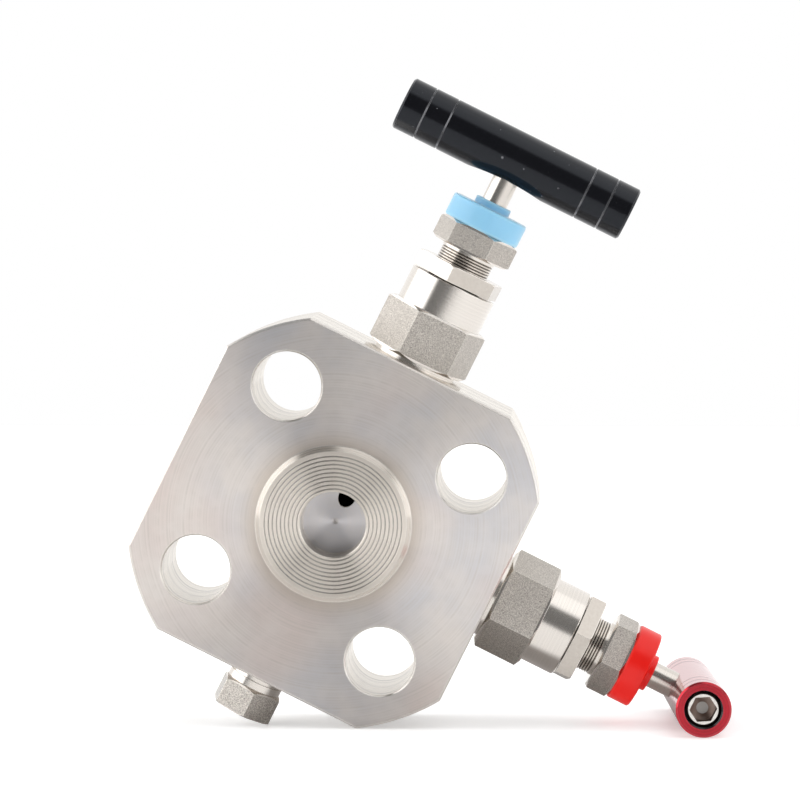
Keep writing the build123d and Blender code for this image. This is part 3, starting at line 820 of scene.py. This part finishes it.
def finish_block():
    finish_with("flange_body", flange_steel())
    part = (sum(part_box("vent_port_plug"), Vector()) / 2, -AXIS["isolate"])
    flats = hex_span("vent_port_plug", *part)
    steel = fitting_steel("plug_steel", part, flats, COARSE_GRAIN, True, rough=PLUG_ROUGH)
    finish_with("vent_port_plug", steel)


def finish_fittings(head):
    part = (CENTRE[head], AXIS[head])
    for piece, blasted in BLASTED.items():
        node = f"{head}_{piece}"
        flats = hex_span(node, *part)
        edge = {}
        if piece == "packing_bolt":
            edge = {"ease": THREAD_EASE, "thread": thread_radii(node, part, flats[0])}
        finish_with(node, fitting_steel(node + "_steel", part, flats, FINE_GRAIN, blasted, **edge))


def finish_head(head, seal):
    finish_fittings(head)
    polished = stem_steel(head)
    finish_with(head + "_stem", polished)
    finish_with(head + "_needle_tip", polished)
    finish_with(head + "_handle_screw", screw_steel(head))
    finish_with(head + "_bonnet_seal", seal)
    finish_with(head + "_packing_rings", seal)
    finish_with(head + "_dust_cap", moulded_plastic(head + "_cap_plastic", *CAP_COLOURS[head]))


finish_block()
white_seal = seal_plastic()
for head in HEADS:
    finish_head(head, white_seal)
finish_with("isolate_handle", gloss_black("isolate_handle"))
finish_with("vent_handle", crimson_anodised("vent_handle"))


# ---------------------------------------------------------------- outlet thread
THREAD_PITCH = 0.001814       # 1/2 inch taper pipe thread
THREAD_HEIGHT = 0.0008
THREAD_STEPS = 96             # points per turn
THREAD_START = 0.0010         # below the back face, under the mouth's chamfer
THREAD_FADE = 0.5             # turns over which each end of the ridge fades out
# corners of the ridge's section: share of the pitch along the axis, share of the height
THREAD_PROFILE = ((0.44, 0.0), (0.10, 1.0), (-0.10, 1.0), (-0.44, 0.0))
NO_FLATS = (1.0, 1.0)         # stations past the object, so that no face is a flat


def thread_points(count):
    fade = THREAD_STEPS * THREAD_FADE
    points = []
    for i in range(count + 1):
        angle = 2 * math.pi * i / THREAD_STEPS
        tall = min(1.0, i / fade, (count - i) / fade)
        depth = OUTLET_BACK - THREAD_START - THREAD_PITCH * (0.5 + i / THREAD_STEPS)
        for shift, rise in THREAD_PROFILE:
            r = OUTLET_RADIUS + TOUCH - rise * tall * THREAD_HEIGHT
            points.append((r * math.cos(angle), depth + shift * THREAD_PITCH, r * math.sin(angle)))
    return points


def thread_faces(count):
    wide = len(THREAD_PROFILE)
    faces = []
    for i in range(count):
        for k in range(wide):
            a, b = i * wide + k, i * wide + (k + 1) % wide
            faces.append((a, b, b + wide, a + wide))
    return faces + [tuple(range(wide)), tuple(range(count * wide + wide - 1, count * wide - 1, -1))]


def outlet_thread():
    """Helical ridge standing on the wall of the outlet bore, fading out at both ends."""
    turns = (OUTLET_LENGTH - THREAD_START - THREAD_PITCH) / THREAD_PITCH
    count = int(turns * THREAD_STEPS)
    mesh = bpy.data.meshes.new("outlet_thread")
    mesh.from_pydata(thread_points(count), [], thread_faces(count))
    ridge = bpy.data.objects.new("outlet_thread", mesh)
    scene.collection.objects.link(ridge)
    part = (Vector(mounts["instrument_outlet"]["pos_m"]), FLANGE_AXIS)
    steel = fitting_steel("outlet_thread_steel", part, NO_FLATS, FINE_GRAIN, False, THREAD_EASE)
    mesh.materials.append(steel)
    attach(ridge, "valve_body")


outlet_thread()


# ---------------------------------------------------------------- bench
BENCH_SIZE = 6.0
BENCH_FRONT = -0.75           # front edge of the sheet that the metal reflects
PAPER_TONES = ((0.90,) * 3, (0.90 * 1.03,) * 3)
PAPER_FIBRE = (900.0, 2.0)
PAPER_ROUGH = 0.35
PAPER_SPECULAR = 0.35
PAPER_GLOW = 0.32
REFLECTED_LIT = (0.85, 0.85, 0.85)
REFLECTED_SHADE = (0.40, 0.38, 0.37)
REFLECTED_GLOW = 0.30
REFLECTED_ROUGH = 0.6
# edges of the valve's own shade on the bench, each from its outside to its inside
SHADE_FRONT = (-0.002, 0.010)
SHADE_BACK = (0.16, 0.09)
SHADE_LEFT = (-0.10, -0.06)
SHADE_RIGHT = (0.14, 0.10)


def bench_slope():
    """Slope of the bench along y, which is the vent handle's, because it rests on that bar."""
    _, along, _ = bar_ends("vent_handle")
    if along.y < 0:
        along = -along
    return math.atan2(along.z, along.y)


SLOPE = bench_slope()
BENCH_UP = Vector((0, -math.sin(SLOPE), math.cos(SLOPE)))
BENCH_LEVEL = min(BENCH_UP.dot(p) for node in nodes for p in corners(node))


def bench_sheet(name, near, far, seen, paper):
    """Sheet lying on the bench plane, from y = near to y = far."""
    side = BENCH_SIZE / 2
    outline = [(-side, near, 0), (side, near, 0), (side, far, 0), (-side, far, 0)]
    mesh = bpy.data.meshes.new(name)
    mesh.from_pydata(outline, [], [(0, 1, 2, 3)])
    mesh.materials.append(paper)
    sheet = bpy.data.objects.new(name, mesh)
    sheet.rotation_euler = (SLOPE, 0, 0)
    sheet.location = BENCH_UP * BENCH_LEVEL
    scene.collection.objects.link(sheet)
    sheet.visible_camera = seen
    sheet.visible_glossy = not seen
    sheet.visible_diffuse = seen
    sheet.visible_shadow = seen


def bench_paper():
    g = Graph("bench_paper")
    g.set(
        Base_Color=g.colour(g.noise(*PAPER_FIBRE), *PAPER_TONES),
        Roughness=PAPER_ROUGH,
        Specular_IOR_Level=PAPER_SPECULAR,
        Emission_Color=(1, 1, 1),
        Emission_Strength=PAPER_GLOW,
    )
    return g.material


def reflected_paper():
    """The bench as the metal sees it: bright in front, dim in the valve's own shade."""
    g = Graph("bench_in_metal_paper")
    across, near = (g.vector("DOT_PRODUCT", g.place, way) for way in ((1, 0, 0), (0, 1, 0)))
    shade = g.times(g.step(near, *SHADE_FRONT), g.step(near, *SHADE_BACK))
    shade = g.times(shade, g.times(g.step(across, *SHADE_LEFT), g.step(across, *SHADE_RIGHT)))
    g.set(
        Base_Color=g.colour(shade, REFLECTED_LIT, REFLECTED_SHADE),
        Emission_Color=(1, 1, 1),
        Emission_Strength=g.mix(shade, REFLECTED_GLOW, 0.0),
        Roughness=REFLECTED_ROUGH,
    )
    return g.material


bench_sheet("bench", -BENCH_SIZE / 2, BENCH_SIZE / 2, True, bench_paper())
bench_sheet("bench_in_metal", BENCH_FRONT, BENCH_SIZE / 2, False, reflected_paper())


# ---------------------------------------------------------------- studio light
ROOM = 0.178
BACKDROP = 1.1
BACKDROP_BAND = (-0.25, 0.25) # cosines between which the room turns into the backdrop
SOFTBOXES = (
    # turn to the right of the camera, height, inner and outer half angle (degrees), strength
    (-80, 18, 30, 44, 2.3),
    (66, 8, 14, 38, 1.9),
    (62, 62, 18, 34, 1.35),
)


class Sky:
    """The world's nodes: a dark room behind the camera, a bright backdrop and soft boxes."""

    def __init__(self):
        world = bpy.data.worlds.new("studio")
        scene.world = world
        world.use_nodes = True
        self.tree = world.node_tree
        self.tree.nodes.clear()
        self.direction = self.tree.nodes.new("ShaderNodeTexCoord").outputs["Generated"]

    def node(self, kind, settings, inputs):
        node = self.tree.nodes.new(kind)
        for key, value in settings.items():
            setattr(node, key, value)
        for key, value in inputs.items():
            if isinstance(value, bpy.types.NodeSocket):
                self.tree.links.new(value, node.inputs[key])
            else:
                node.inputs[key].default_value = value
        return node

    def toward(self, direction, start, end, low, high):
        ways = {0: self.direction, 1: direction}
        dot = self.node("ShaderNodeVectorMath", {"operation": "DOT_PRODUCT"}, ways).outputs["Value"]
        span = {"Value": dot, "From Min": start, "From Max": end, "To Min": low, "To Max": high}
        return self.node("ShaderNodeMapRange", {"interpolation_type": "SMOOTHSTEP"}, span).outputs["Result"]

    def brightest(self, a, b):
        return self.node("ShaderNodeMath", {"operation": "MAXIMUM"}, {0: a, 1: b}).outputs[0]

    def finish(self, light):
        lit = self.node("ShaderNodeBackground", {}, {"Color": (1, 1, 1, 1), "Strength": light}).outputs[0]
        seen = self.node("ShaderNodeBackground", {}, {"Color": (1, 1, 1, 1), "Strength": 1.0}).outputs[0]
        camera_ray = self.tree.nodes.new("ShaderNodeLightPath").outputs["Is Camera Ray"]
        choice = self.node("ShaderNodeMixShader", {}, {0: camera_ray, 1: lit, 2: seen}).outputs[0]
        self.node("ShaderNodeOutputWorld", {}, {"Surface": choice})


def compass(turn, height):
    """Direction of a light, by its turn to the right of the camera and its height, in radians."""
    return math.sin(turn) * math.cos(height), -math.cos(turn) * math.cos(height), math.sin(height)


def studio_light():
    sky = Sky()
    light = sky.toward((0, 1, 0), *BACKDROP_BAND, ROOM, BACKDROP)
    for *angles, strength in SOFTBOXES:
        turn, height, inner, outer = map(math.radians, angles)
        box = sky.toward(compass(turn, height), math.cos(outer), math.cos(inner), 0.0, strength)
        light = sky.brightest(light, box)
    sky.finish(light)


studio_light()
